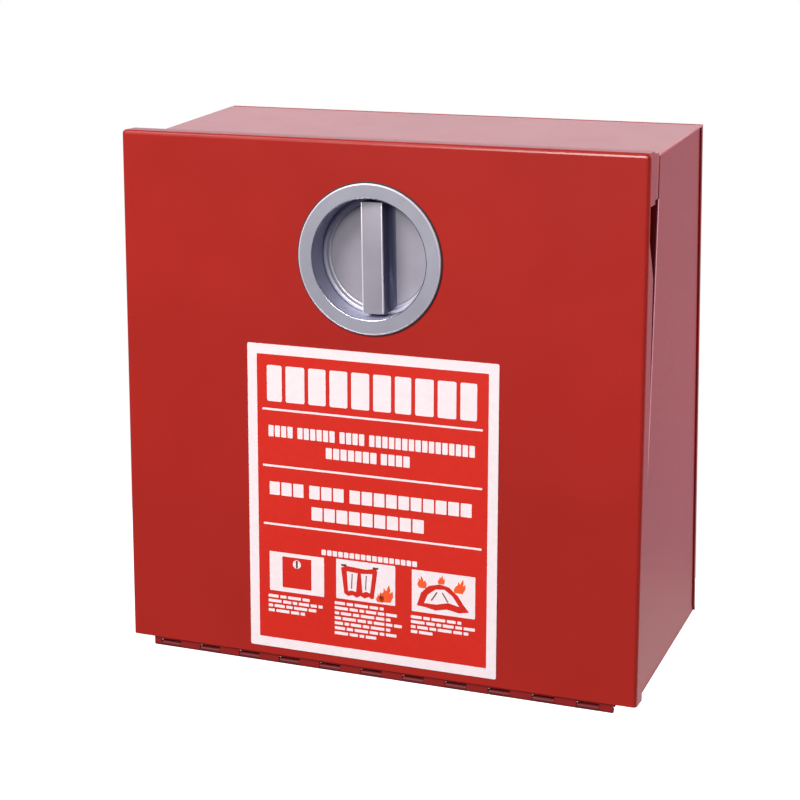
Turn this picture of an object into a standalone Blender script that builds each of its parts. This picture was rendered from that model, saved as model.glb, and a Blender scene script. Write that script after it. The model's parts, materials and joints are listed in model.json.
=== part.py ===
"""Fire blanket in a wall cabinet: a sheet-steel box with a drop-down door, a recessed
turn latch and a folded glass-cloth blanket inside.

Metres, +Z up. The origin is the centre of the cabinet's back face, where it meets the
wall; the front faces -Y. The door stands slightly ajar and its latch is unlocked.
"""

import math

import bmesh
import bpy
from mathutils import Matrix, Vector

MM = 0.001
GAP = 0.3 * MM                   # between pieces that touch on the real cabinet

# Cabinet
WIDTH = 300 * MM
HEIGHT = 302 * MM
DEPTH_BOTTOM = 135 * MM
DEPTH_TOP = 99 * MM              # the rim slopes back towards the top
SHEET = 1.2 * MM
SIDE_LIP = 12 * MM
STRIKE_LIP = 24 * MM             # front lip of the top panel, which the cam hooks behind
BOTTOM_LIP = 9 * MM
REAR_FLANGE = 12 * MM
BEND_RADIUS = 1.6 * MM
OVERLAP = 0.8 * MM               # the top and the back stand out past the sides
WALL_HOLE = 7 * MM
WALL_HOLE_X = 110 * MM
WALL_HOLE_Z = 106 * MM

# Door
DOOR_WIDTH = 312.6 * MM
DOOR_CENTRE_X = -3.1 * MM
DOOR_BOTTOM = 4.5 * MM           # above the hinge axis, along the door
DOOR_TOP = 309.9 * MM
DOOR_FLANGE = 12 * MM
DOOR_BEND = 2.4 * MM
NOTCH_TOP = 281.6 * MM           # finger notch in the right flange, deepest near its top
NOTCH_DEEP_END = 263 * MM
NOTCH_BOTTOM = 237.5 * MM
DOOR_TILT = math.radians(-3.68)  # as it stands ajar; shut, it lies parallel to the rim
FACE_AHEAD = 3.2 * MM            # the door's front surface, ahead of the hinge axis
BUFFER_X = 120 * MM
BUFFER_Z = 295.5 * MM
BUFFER_RADIUS = 5.5 * MM
BUFFER_LENGTH = 11.8 * MM
LABEL_WIDTH = 152.4 * MM
LABEL_HEIGHT = 181.9 * MM
LABEL_CENTRE_X = -4.2 * MM
LABEL_CENTRE_Z = 100.1 * MM
LABEL_THICK = 0.25 * MM
LABEL_GAP = 0.15 * MM

# Hinge: a continuous strip hinge, its axis below the cabinet's front edge
AXIS = Vector((0, -145.7 * MM, -153 * MM))
KNUCKLE = 13 * MM
KNUCKLE_RADIUS = 1.7 * MM
LEAF = 0.8 * MM
PIN_RADIUS = 0.65 * MM
HINGE_LEFT = -146 * MM
END_LEFT = 4.8 * MM              # the part knuckles at the two ends of the strip
END_RIGHT = 7.8 * MM
CABINET_KNUCKLES = 11
DOOR_LEAF_HEIGHT = 19 * MM
RIVETS = 6
RIVET_RADIUS = 1.6 * MM
RIVET_HEAD = 3.1 * MM

# Latch, along its own axis from the door's front surface backwards
LATCH_X = -4.8 * MM
LATCH_Z = 243.9 * MM
BEZEL_RADIUS = 42.6 * MM
BEZEL_PROUD = 3.2 * MM
GASKET = 0.8 * MM
CUP_RADIUS = 34 * MM             # inside of the fixed sleeve
SLEEVE_RADIUS = 35.6 * MM
SLEEVE_BACK = 24.5 * MM
BOWL_RIM = 12.6 * MM
BOWL_FLOOR = 20 * MM
BAR_FRONT = 2.6 * MM
BAR_WIDTH = 12.4 * MM
BAR_LENGTH = 63 * MM
CAM_THICK = 2.5 * MM
CAM_FRONT = 27 * MM
CAM_TIP_FRONT = 15.6 * MM
CAM_STEP_START = 36.2 * MM
CAM_STEP_END = 39 * MM
CAM_REACH = 50 * MM
CAM_WIDTH = 16 * MM
RING_NUT_RADIUS = 42 * MM
RING_NUT_THICK = 5 * MM

# Blanket and its tapes
BLANKET_WIDTH = 262 * MM
BLANKET_THICK = 72 * MM
BLANKET_HEIGHT = 262 * MM
BLANKET_BACK = -3.5 * MM
TAPE_WIDTH = 25 * MM
TAPE_THICK = 1.6 * MM
TAPE_X = 78 * MM

CABINET_BOTTOM = -HEIGHT / 2
CABINET_TOP = HEIGHT / 2
RIM_SLOPE = (DEPTH_BOTTOM - DEPTH_TOP) / HEIGHT

RED = (0.42, 0.022, 0.016, 1)
DARK_RED = (0.36, 0.02, 0.015, 1)
ZINC = (0.38, 0.38, 0.41, 1)
CAST_GREY = (0.36, 0.36, 0.40, 1)
BLACK = (0.02, 0.02, 0.02, 1)
CLOTH = (0.72, 0.69, 0.6, 1)
TAPE_BLACK = (0.03, 0.03, 0.035, 1)
LABEL_RED = (0.7, 0.03, 0.02, 1)


def clear_scene():
    for obj in list(bpy.data.objects):
        bpy.data.objects.remove(obj, do_unlink=True)


def new_collection(name):
    collection = bpy.data.collections.new(name)
    bpy.context.scene.collection.children.link(collection)
    return collection


clear_scene()
PARTS = new_collection("fire_blanket_cabinet")
CUTTERS = new_collection("cutters")


def material(name, colour, roughness, metallic=0.0):
    made = bpy.data.materials.new(name)
    made.use_nodes = True
    shader = made.node_tree.nodes["Principled BSDF"]
    shader.inputs["Base Color"].default_value = colour
    shader.inputs["Roughness"].default_value = roughness
    shader.inputs["Metallic"].default_value = metallic
    return made


def pivot(name, location, tilt=0.0, parent=None):
    """An empty that a moving body hangs on, on its joint's axis."""
    empty = bpy.data.objects.new(name, None)
    empty.location = location
    empty.rotation_euler.x = tilt
    empty.parent = parent
    PARTS.objects.link(empty)
    return empty


def add(name, mesh, finish, parent=None, location=(0, 0, 0), collection=PARTS):
    """An object of this mesh, a node when it is in the parts collection."""
    obj = bpy.data.objects.new(name, mesh)
    obj.location = location
    obj.parent = parent
    if finish:
        mesh.materials.append(finish)
    collection.objects.link(obj)
    if collection is CUTTERS:
        obj.hide_render = True
        obj.display_type = "WIRE"
    return obj


def to_mesh(bm, name, closed=True):
    """The bmesh as a mesh. An open sheet keeps its winding: Solidify thickens it inwards."""
    if closed:
        bmesh.ops.recalc_face_normals(bm, faces=bm.faces)
    mesh = bpy.data.meshes.new(name)
    bm.to_mesh(mesh)
    bm.free()
    return mesh


def block_mesh(name, low, high):
    """A box between two corners."""
    low, high = Vector(low), Vector(high)
    size = high - low
    middle = (low + high) / 2
    bm = bmesh.new()
    place = Matrix.Translation(middle) @ Matrix.Diagonal((size.x, size.y, size.z, 1))
    bmesh.ops.create_cube(bm, size=1, matrix=place)
    return to_mesh(bm, name)


def rod_mesh(name, radius, start, end, segments=32, taper=1.0):
    """A round bar from start to end, whose far end may be narrower."""
    start, end = Vector(start), Vector(end)
    along = end - start
    turn = along.to_track_quat("Z", "Y").to_matrix().to_4x4()
    bm = bmesh.new()
    bmesh.ops.create_cone(
        bm, cap_ends=True, segments=segments, radius1=radius, radius2=radius * taper,
        depth=along.length, matrix=Matrix.Translation((start + end) / 2) @ turn,
    )
    return to_mesh(bm, name)


def solidify(obj, thickness, offset=-1.0):
    thick = obj.modifiers.new("Solidify", "SOLIDIFY")
    thick.thickness = thickness
    thick.offset = offset
    thick.use_even_offset = True
    return thick


def bevel(obj, width, segments=2, angle=40):
    soft = obj.modifiers.new("Bevel", "BEVEL")
    soft.width = width
    soft.segments = segments
    soft.limit_method = "ANGLE"
    soft.angle_limit = math.radians(angle)
    soft.harden_normals = False
    return soft


def cut(obj, cutter, operation="DIFFERENCE"):
    boolean = obj.modifiers.new(cutter.name, "BOOLEAN")
    boolean.operation = operation
    boolean.object = cutter
    return boolean


def smooth(obj, angle=35):
    obj.data.shade_smooth()
    obj.data.set_sharp_from_angle(angle=math.radians(angle))


def rounded_chain(corners, radius, steps=3):
    """A chain of 2D points with each inner corner replaced by an arc."""
    chain = [Vector(corners[0])]
    for before, corner, after in zip(corners, corners[1:], corners[2:]):
        before, corner, after = Vector(before), Vector(corner), Vector(after)
        back = (before - corner).normalized()
        ahead = (after - corner).normalized()
        half = back.angle(ahead) / 2
        reach = radius / math.tan(half)
        centre = corner + (back + ahead).normalized() * (radius / math.sin(half))
        first = corner + back * reach - centre
        sweep = first.angle_signed(corner + ahead * reach - centre)
        for step in range(steps + 1):
            turned = first.copy()
            turned.rotate(Matrix.Rotation(-sweep * step / steps, 2))
            chain.append(centre + turned)
    chain.append(Vector(corners[-1]))
    return chain


def folded_sheet(name, start_chain, end_chain):
    """An open surface ruled between two chains, its outside on the right of the chain's run."""
    bm = bmesh.new()
    starts = [bm.verts.new(p) for p in start_chain]
    ends = [bm.verts.new(p) for p in end_chain]
    for i in range(len(starts) - 1):
        bm.faces.new((starts[i], starts[i + 1], ends[i + 1], ends[i]))
    return to_mesh(bm, name, closed=False)


def turned_mesh(name, profile, steps=48):
    """A solid of revolution about Y. The profile is (radius, depth), closed on itself."""
    bm = bmesh.new()
    verts = [bm.verts.new((radius, depth, 0)) for radius, depth in profile]
    edges = [bm.edges.new((a, b)) for a, b in zip(verts, verts[1:] + verts[:1])]
    bmesh.ops.spin(
        bm, geom=verts + edges, cent=(0, 0, 0), axis=(0, 1, 0), angle=math.tau,
        steps=steps, use_merge=True, use_duplicate=False,
    )
    bmesh.ops.remove_doubles(bm, verts=bm.verts, dist=0.01 * MM)
    loose = [f for f in bm.faces if f.calc_area() < 1e-14]
    bmesh.ops.delete(bm, geom=loose, context="FACES")
    return to_mesh(bm, name)


# ---------------------------------------------------------------- cabinet

def rim_y(z):
    """The rim plane's place at this height."""
    return -DEPTH_BOTTOM + RIM_SLOPE * (z - CABINET_BOTTOM)


def make_top_panel(finish):
    """The top, lapped over the sides, with the strike lip and a rear flange folded down."""
    back = -SHEET - GAP
    lip_z = CABINET_TOP - STRIKE_LIP
    corners = [
        (rim_y(lip_z), lip_z), (rim_y(CABINET_TOP), CABINET_TOP),
        (back, CABINET_TOP), (back, CABINET_TOP - REAR_FLANGE),
    ]
    chain = rounded_chain(corners, BEND_RADIUS)
    reach = WIDTH / 2 + OVERLAP
    left = [(-reach, y, z) for y, z in chain]
    right = [(reach, y, z) for y, z in chain]
    panel = add("top_panel", folded_sheet("top_panel", right, left), finish)
    solidify(panel, SHEET)
    smooth(panel)


def make_bottom_panel(finish, holes):
    """The bottom, with a low front lip and a rear flange folded up."""
    back = -SHEET - GAP
    lip_z = CABINET_BOTTOM + BOTTOM_LIP
    corners = [
        (rim_y(lip_z), lip_z), (rim_y(CABINET_BOTTOM), CABINET_BOTTOM),
        (back, CABINET_BOTTOM), (back, CABINET_BOTTOM + REAR_FLANGE),
    ]
    chain = rounded_chain(corners, BEND_RADIUS)
    left = [(-WIDTH / 2, y, z) for y, z in chain]
    right = [(WIDTH / 2, y, z) for y, z in chain]
    panel = add("bottom_panel", folded_sheet("bottom_panel", left, right), finish)
    solidify(panel, SHEET)
    for hole in holes:
        cut(panel, hole)
    smooth(panel)


def make_side_panel(name, side, finish):
    """A side, wider at the bottom, with a front lip and a rear flange folded inwards."""
    low = CABINET_BOTTOM + SHEET + GAP
    high = CABINET_TOP - SHEET - GAP
    outer = side * WIDTH / 2
    back = -SHEET - GAP

    def chain_at(z):
        # The lips stop short of the front lips and rear flanges of the top and bottom.
        front = rim_y(z) + SHEET + GAP
        corners = [
            (outer - side * SIDE_LIP, front), (outer, front),
            (outer, back - SHEET - GAP), (outer - side * REAR_FLANGE, back - SHEET - GAP),
        ]
        return [(x, y, z) for x, y in rounded_chain(corners, BEND_RADIUS)]

    ends = (chain_at(low), chain_at(high))
    panel = add(name, folded_sheet(name, *(ends if side > 0 else ends[::-1])), finish)
    solidify(panel, SHEET)
    smooth(panel)


def make_back_panel(finish):
    """The flat back, with four round holes for the wall screws."""
    low = (-WIDTH / 2 - OVERLAP, -SHEET, CABINET_BOTTOM)
    high = (WIDTH / 2 + OVERLAP, 0, CABINET_TOP)
    panel = add("back_panel", block_mesh("back_panel", low, high), finish)
    for x in (-WALL_HOLE_X, WALL_HOLE_X):
        for z in (-WALL_HOLE_Z, WALL_HOLE_Z):
            hole = rod_mesh("wall_hole", WALL_HOLE / 2, (x, -9 * MM, z), (x, 9 * MM, z))
            cut(panel, add("wall_hole", hole, None, collection=CUTTERS))
    smooth(panel)


# ---------------------------------------------------------------- hinge

def knuckle_ranges():
    """(start, end, owner) for each knuckle along the strip, left to right."""
    ranges = [(HINGE_LEFT, HINGE_LEFT + END_LEFT, "door")]
    x = HINGE_LEFT + END_LEFT
    for i in range(2 * CABINET_KNUCKLES - 1):
        owner = "door" if i % 2 else "cabinet"
        ranges.append((x, x + KNUCKLE, owner))
        x += KNUCKLE
    ranges.append((x, x + END_RIGHT, "door"))
    return ranges


def hinge_leaf_mesh(name, owner, flat, start_angle):
    """A leaf with its knuckles rolled from it, as one open surface to be thickened.

    flat is the leaf's far edge and its notch line, and start_angle is where the roll
    leaves the leaf, both about the hinge axis.
    """
    roll_steps = 12
    roll = math.radians(264)
    rolled = []
    for step in range(roll_steps + 1):
        angle = start_angle + roll * step / roll_steps
        rolled.append((KNUCKLE_RADIUS * math.cos(angle), KNUCKLE_RADIUS * math.sin(angle)))
    bm = bmesh.new()
    cuts = []
    for start, end, whose in knuckle_ranges():
        inset = GAP / 2 if whose == owner else -GAP / 2
        cuts.append((start + inset, end - inset, whose == owner))
    edges = [cuts[0][0]] + [cuts[i][1] if cuts[i][2] else cuts[i + 1][0]
                            for i in range(len(cuts) - 1)] + [cuts[-1][1]]
    rows = flat + rolled
    grid = [[bm.verts.new((x, y, z)) for y, z in rows] for x in edges]
    for column in range(len(edges) - 1):
        mine = cuts[column][2]
        last = len(rows) - 1 if mine else 1
        for row in range(last):
            bm.faces.new((
                grid[column][row], grid[column][row + 1],
                grid[column + 1][row + 1], grid[column + 1][row],
            ))
    bmesh.ops.delete(bm, geom=[v for v in bm.verts if not v.link_faces], context="VERTS")
    return to_mesh(bm, name, closed=False)


def make_hinge(door, red, steel, rivets):
    # The door's leaf stands behind the door's sheet; the roll leaves it at the front.
    notch = KNUCKLE_RADIUS + 1.4 * MM
    flat = [(-KNUCKLE_RADIUS, DOOR_LEAF_HEIGHT), (-KNUCKLE_RADIUS, notch)]
    leaf = hinge_leaf_mesh("door_hinge_leaf", "door", flat, math.pi)
    upper = add("door_hinge_leaf", leaf, red, door)
    solidify(upper, LEAF)
    smooth(upper)
    # The cabinet's leaf lies under the bottom panel; the roll leaves it at the top.
    notch = KNUCKLE_RADIUS + 0.5 * MM
    reach = -AXIS.y - DEPTH_BOTTOM + 16 * MM
    flat = [(reach, KNUCKLE_RADIUS), (notch, KNUCKLE_RADIUS)]
    leaf = hinge_leaf_mesh("cabinet_hinge_leaf", "cabinet", flat, math.pi / 2)
    lower = add("cabinet_hinge_leaf", leaf, red, location=AXIS)
    solidify(lower, LEAF)
    for hole in rivets:
        cut(lower, hole)
    smooth(lower)
    ends = knuckle_ranges()
    pin = rod_mesh(
        "hinge_pin", PIN_RADIUS, (ends[0][0] + 0.5 * MM, 0, 0), (ends[-1][1] - 0.5 * MM, 0, 0), 16
    )
    smooth(add("hinge_pin", pin, steel, location=AXIS))


def rivet_places():
    """The rivets' centres along the cabinet's leaf, at its underside."""
    span = 2 * CABINET_KNUCKLES * KNUCKLE
    middle = HINGE_LEFT + END_LEFT + (2 * CABINET_KNUCKLES - 1) * KNUCKLE / 2
    y = -DEPTH_BOTTOM + 10 * MM
    for i in range(RIVETS):
        x = middle + span * ((i + 0.5) / RIVETS - 0.5)
        yield Vector((x, y, AXIS.z + KNUCKLE_RADIUS - LEAF))


def make_rivet_cutters():
    cutters = []
    for place in rivet_places():
        low = place - Vector((0, 0, 4 * MM))
        high = place + Vector((0, 0, 8 * MM))
        rod = rod_mesh("rivet_hole", RIVET_RADIUS + GAP, low, high, 16)
        cutters.append(add("rivet_hole", rod, None, collection=CUTTERS))
    return cutters


def make_rivets(finish):
    """Blind rivets through the bottom panel and the hinge leaf."""
    top = CABINET_BOTTOM + SHEET + GAP
    for number, place in enumerate(rivet_places(), 1):
        under = place.z - GAP
        profile = [
            (0, under - 1 * MM), (RIVET_HEAD * 0.6, under - 0.8 * MM), (RIVET_HEAD, under),
            (RIVET_RADIUS, under), (RIVET_RADIUS, top), (RIVET_RADIUS * 1.7, top),
            (RIVET_RADIUS * 1.5, top + 0.9 * MM), (0, top + 1.4 * MM),
        ]
        mesh = turned_mesh(f"hinge_rivet_{number}", profile, 12)
        mesh.transform(Matrix.Rotation(math.pi / 2, 4, "X"))
        rivet = add(f"hinge_rivet_{number}", mesh, finish, location=(place.x, place.y, 0))
        smooth(rivet)


# ---------------------------------------------------------------- door

def notch_mesh(x):
    """A wedge that cuts the finger notch into the flange at this x."""
    near = -FACE_AHEAD + DOOR_BEND + 0.2 * MM
    far = -FACE_AHEAD + DOOR_FLANGE + 2 * MM
    outline = [
        (near, NOTCH_TOP), (far, NOTCH_TOP), (far, NOTCH_BOTTOM), (near, NOTCH_DEEP_END),
    ]
    bm = bmesh.new()
    inner = [bm.verts.new((x - 4 * MM, y, z)) for y, z in outline]
    outer = [bm.verts.new((x + 4 * MM, y, z)) for y, z in outline]
    bm.faces.new(inner)
    bm.faces.new(outer)
    for i in range(4):
        j = (i + 1) % 4
        bm.faces.new((inner[i], inner[j], outer[j], outer[i]))
    return to_mesh(bm, "flange_notch")


def make_door_panel(door, finish):
    """The door's pan: a face with flanges folded back at the top and sides."""
    left = DOOR_CENTRE_X - DOOR_WIDTH / 2
    right = DOOR_CENTRE_X + DOOR_WIDTH / 2
    front = -FACE_AHEAD
    mesh = block_mesh(
        "door_panel", (left, front, DOOR_BOTTOM), (right, front + DOOR_FLANGE, DOOR_TOP)
    )
    bm = bmesh.new()
    bm.from_mesh(mesh)
    open_sides = [f for f in bm.faces if f.normal.y > 0.5 or f.normal.z < -0.5]
    bmesh.ops.delete(bm, geom=open_sides, context="FACES")
    bm.to_mesh(mesh)
    bm.free()
    panel = add("door_panel", mesh, finish, door)
    bevel(panel, DOOR_BEND, segments=4)
    solidify(panel, SHEET)
    hole = rod_mesh(
        "latch_hole", SLEEVE_RADIUS + GAP,
        (LATCH_X, front - 9 * MM, LATCH_Z), (LATCH_X, front + 9 * MM, LATCH_Z), 48,
    )
    cut(panel, add("latch_hole", hole, None, door, collection=CUTTERS))
    cut(panel, add("flange_notch", notch_mesh(right), None, door, collection=CUTTERS))
    smooth(panel)


def make_buffers(door, finish):
    """Rubber buffers glued inside the door, which meet the strike lip when it is shut."""
    foot = -FACE_AHEAD + SHEET + GAP
    for name, side in (("door_buffer_left", -1), ("door_buffer_right", 1)):
        x = side * BUFFER_X
        start = (x, foot, BUFFER_Z)
        end = (x, foot + BUFFER_LENGTH, BUFFER_Z)
        smooth(add(name, rod_mesh(name, BUFFER_RADIUS, start, end, 24, 0.75), finish, door))


def make_label(door, finish):
    back = -FACE_AHEAD - LABEL_GAP
    low = (
        LABEL_CENTRE_X - LABEL_WIDTH / 2, back - LABEL_THICK, LABEL_CENTRE_Z - LABEL_HEIGHT / 2
    )
    high = (LABEL_CENTRE_X + LABEL_WIDTH / 2, back, LABEL_CENTRE_Z + LABEL_HEIGHT / 2)
    add("label", block_mesh("label", low, high), finish, door)


# ---------------------------------------------------------------- latch

def make_housing(latch_seat, finish):
    """The fixed part: a flat bezel and a sleeve through the door, with a floor and a bore."""
    face = -BEZEL_PROUD
    seat = -GASKET - 2 * GAP
    bore = 7 * MM + GAP
    profile = [
        (CUP_RADIUS, face + 1 * MM), (CUP_RADIUS + 0.3 * MM, face + 0.3 * MM),
        (CUP_RADIUS + 1 * MM, face),
        (BEZEL_RADIUS - 1.3 * MM, face), (BEZEL_RADIUS, face + 1.1 * MM), (BEZEL_RADIUS, seat),
        (SLEEVE_RADIUS, seat), (SLEEVE_RADIUS, SLEEVE_BACK), (bore, SLEEVE_BACK),
        (bore, SLEEVE_BACK - 1.6 * MM), (CUP_RADIUS, SLEEVE_BACK - 1.6 * MM),
    ]
    smooth(add("latch_housing", turned_mesh("latch_housing", profile), finish, latch_seat))


def ring(name, inner, outer, front, back, finish, parent, steps=48):
    profile = [(inner, front), (outer, front), (outer, back), (inner, back)]
    made = add(name, turned_mesh(name, profile, steps), finish, parent)
    smooth(made)
    return made


def make_rotor(latch, finish):
    """The part that turns: a bowl with a grip bar across it and a square spindle behind."""
    rim = CUP_RADIUS - GAP
    inside = rim - 1 * MM
    fillet = 1.6 * MM
    back = BOWL_FLOOR + 1.6 * MM
    corner = []
    for step in range(5):
        angle = math.pi / 2 * step / 4
        corner.append((
            inside - fillet * (1 - math.sin(angle)), BOWL_FLOOR - fillet * (1 - math.cos(angle))
        ))
    profile = [(0, BOWL_FLOOR)] + corner + [
        (inside, BOWL_RIM + 0.4 * MM), (inside + 0.4 * MM, BOWL_RIM), (rim, BOWL_RIM),
        (rim, back), (7 * MM, back), (7 * MM, SLEEVE_BACK + 2 * MM), (0, SLEEVE_BACK + 2 * MM),
    ]
    rotor = add("latch_rotor", turned_mesh("latch_rotor", profile), finish, latch)
    low = (-BAR_WIDTH / 2, BAR_FRONT, -BAR_LENGTH / 2)
    high = (BAR_WIDTH / 2, BOWL_FLOOR + 0.8 * MM, BAR_LENGTH / 2)
    bar = add("grip_bar", block_mesh("grip_bar", low, high), None, latch, collection=CUTTERS)
    bevel(bar, 0.7 * MM, segments=2)
    cut(rotor, bar, "UNION")
    square = 4 * MM
    low = (-square, SLEEVE_BACK + 1 * MM, -square)
    high = (square, CAM_FRONT + CAM_THICK - 0.4 * MM, square)
    spindle = block_mesh("spindle", low, high)
    cut(rotor, add("spindle", spindle, None, latch, collection=CUTTERS), "UNION")
    bore = rod_mesh("screw_hole", 2 * MM + GAP, (0, 15 * MM + 8 * MM, 0), (0, 40 * MM, 0), 20)
    cut(rotor, add("screw_hole", bore, None, latch, collection=CUTTERS))
    smooth(rotor)


def make_cam(latch, finish):
    """A cranked steel cam: flat on the spindle, stepped forward beyond the sleeve.

    Unlocked it points left; a quarter turn clockwise brings it up behind the strike lip.
    """
    corners = [
        (9 * MM, CAM_FRONT), (-CAM_STEP_START, CAM_FRONT), (-CAM_STEP_END, CAM_TIP_FRONT),
        (-CAM_REACH, CAM_TIP_FRONT),
    ]
    chain = rounded_chain(corners, 1.4 * MM)
    low = [(x, y, -CAM_WIDTH / 2) for x, y in chain]
    high = [(x, y, CAM_WIDTH / 2) for x, y in chain]
    cam = add("latch_cam", folded_sheet("latch_cam", high, low), finish, latch)
    solidify(cam, CAM_THICK)
    half = 4 * MM + GAP
    square = block_mesh("cam_square", (-half, 20 * MM, -half), (half, 40 * MM, half))
    cut(cam, add("cam_square", square, None, latch, collection=CUTTERS))
    smooth(cam)


def make_latch_screw(latch, finish):
    front = CAM_FRONT + CAM_THICK + 2 * GAP + 1.2 * MM
    profile = [
        (0, CAM_FRONT - 2 * MM), (2 * MM, CAM_FRONT - 2 * MM), (2 * MM, front), (4.6 * MM, front),
        (4.4 * MM, front + 1.8 * MM), (3 * MM, front + 2.6 * MM), (0, front + 2.9 * MM),
    ]
    screw = add("latch_cam_screw", turned_mesh("latch_cam_screw", profile, 24), finish, latch)
    for name, size in (("slot_a", (3 * MM, 0.5 * MM)), ("slot_b", (0.5 * MM, 3 * MM))):
        low = (-size[0], front + 1.4 * MM, -size[1])
        slot = block_mesh(name, low, (size[0], front + 9 * MM, size[1]))
        cut(screw, add(name, slot, None, latch, collection=CUTTERS))
    smooth(screw)


def make_latch(door, cast, steel, rubber):
    """The latch's pieces. Its empty stands where its axis meets the door's front surface."""
    latch = pivot("latch_pivot", (LATCH_X, -FACE_AHEAD, LATCH_Z), parent=door)
    make_housing(latch, cast)
    seat = SLEEVE_RADIUS + GAP
    ring("latch_gasket", seat, BEZEL_RADIUS - 0.5 * MM, -GASKET - GAP, -GAP, rubber, latch)
    nut_front = SHEET + GAP
    ring(
        "latch_ring_nut", seat, RING_NUT_RADIUS, nut_front, nut_front + RING_NUT_THICK,
        steel, latch,
    )
    make_rotor(latch, cast)
    washer_front = SLEEVE_BACK + GAP
    ring(
        "latch_friction_washer", 7 * MM + GAP, 13 * MM, washer_front, CAM_FRONT - GAP,
        steel, latch, 32,
    )
    make_cam(latch, steel)
    washer = CAM_FRONT + CAM_THICK + GAP
    ring("latch_cam_washer", 2 * MM + GAP, 7.5 * MM, washer, washer + 1.2 * MM, steel, latch, 32)
    make_latch_screw(latch, steel)


# ---------------------------------------------------------------- blanket

def make_blanket(finish):
    """The outer shape of the folded blanket, standing on the cabinet's bottom."""
    bottom = CABINET_BOTTOM + SHEET + GAP + 1.8 * MM
    low = (-BLANKET_WIDTH / 2, BLANKET_BACK - BLANKET_THICK, bottom)
    high = (BLANKET_WIDTH / 2, BLANKET_BACK, bottom + BLANKET_HEIGHT)
    blanket = add("blanket", block_mesh("blanket", low, high), finish)
    bevel(blanket, 9 * MM, segments=3)
    smooth(blanket, 60)


def make_tape(name, x, finish):
    """A pull tape: out over the blanket's top edge and down its front, the end hanging."""
    top = CABINET_BOTTOM + SHEET + GAP + 1.8 * MM + BLANKET_HEIGHT + 1.2 * MM
    front = BLANKET_BACK - BLANKET_THICK - 1.2 * MM
    corners = [(-32 * MM, top), (front, top), (front, top - 165 * MM)]
    chain = rounded_chain(corners, 8 * MM, steps=5)
    left = [(x - TAPE_WIDTH / 2, y, z) for y, z in chain]
    right = [(x + TAPE_WIDTH / 2, y, z) for y, z in chain]
    tape = add(name, folded_sheet(name, left, right), finish)
    solidify(tape, TAPE_THICK, offset=1.0)
    smooth(tape)


def build():
    red = material("red_enamel", RED, 0.25)
    dark = material("red_enamel_inside", DARK_RED, 0.35)
    label = material("label_film", LABEL_RED, 0.3)
    zinc = material("zinc_steel", ZINC, 0.35, 1.0)
    cast = material("cast_metal", CAST_GREY, 0.4, 0.7)
    rubber = material("black_rubber", BLACK, 0.7)
    cloth = material("glass_cloth", CLOTH, 0.9)
    tape = material("tape_webbing", TAPE_BLACK, 0.85)

    rivet_cutters = make_rivet_cutters()
    make_top_panel(red)
    make_bottom_panel(red, rivet_cutters)
    make_side_panel("side_panel_left", -1, red)
    make_side_panel("side_panel_right", 1, red)
    make_back_panel(dark)

    door = pivot("door_pivot", AXIS, DOOR_TILT)
    make_door_panel(door, red)
    make_buffers(door, rubber)
    make_label(door, label)
    make_hinge(door, red, zinc, rivet_cutters)
    make_rivets(zinc)
    make_latch(door, cast, zinc, rubber)

    make_blanket(cloth)
    make_tape("pull_tape_left", -TAPE_X, tape)
    make_tape("pull_tape_right", TAPE_X, tape)


build()
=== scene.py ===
"""The looks of the fire blanket cabinet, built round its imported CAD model.

Metres, +Z up, the front faces -Y, and the origin is the centre of the back face.
"""

import json
import math

import bmesh
import bpy
from mathutils import Matrix, Vector, noise


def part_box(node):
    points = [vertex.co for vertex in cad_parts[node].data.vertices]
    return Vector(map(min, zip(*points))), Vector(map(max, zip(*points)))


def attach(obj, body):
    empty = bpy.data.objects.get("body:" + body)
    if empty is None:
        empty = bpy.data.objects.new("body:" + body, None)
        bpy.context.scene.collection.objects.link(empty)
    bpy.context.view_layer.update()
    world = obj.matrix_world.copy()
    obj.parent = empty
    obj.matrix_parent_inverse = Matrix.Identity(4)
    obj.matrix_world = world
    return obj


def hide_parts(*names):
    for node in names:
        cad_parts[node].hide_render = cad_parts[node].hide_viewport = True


MM = 0.001

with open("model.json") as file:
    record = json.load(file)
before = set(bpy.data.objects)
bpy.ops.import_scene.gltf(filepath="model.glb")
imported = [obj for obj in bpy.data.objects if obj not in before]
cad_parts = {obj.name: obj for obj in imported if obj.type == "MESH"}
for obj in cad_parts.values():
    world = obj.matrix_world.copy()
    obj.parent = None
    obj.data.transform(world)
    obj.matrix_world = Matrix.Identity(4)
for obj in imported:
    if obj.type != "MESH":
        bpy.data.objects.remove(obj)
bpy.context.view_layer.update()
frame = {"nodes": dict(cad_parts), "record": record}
NODES = frame["nodes"]
JOINTS = {joint["name"]: joint for joint in frame["record"]["behaviour"]["joints"]}

# Frames of the leaning door and its latch, whose origins are on the two joints' axes:
# +Y goes back through the door and +Z up it.
LEAN = Matrix.Rotation(math.asin(Vector(JOINTS["latch_turn"]["axis"]).normalized().z), 4, "X")
DOOR = Matrix.Translation(Vector(JOINTS["door_hinge"]["pos_m"])) @ LEAN
LATCH = Matrix.Translation(Vector(JOINTS["latch_turn"]["pos_m"])) @ LEAN


# ---------------------------------------------------------------- materials

def new_material(name):
    """A node material, as (material, nodes, links, Principled shader, object coordinates)."""
    made = bpy.data.materials.new(name)
    made.use_nodes = True
    nodes = made.node_tree.nodes
    links = made.node_tree.links
    shader = nodes["Principled BSDF"]
    where = nodes.new("ShaderNodeTexCoord").outputs["Object"]
    return made, nodes, links, shader, where


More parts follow.
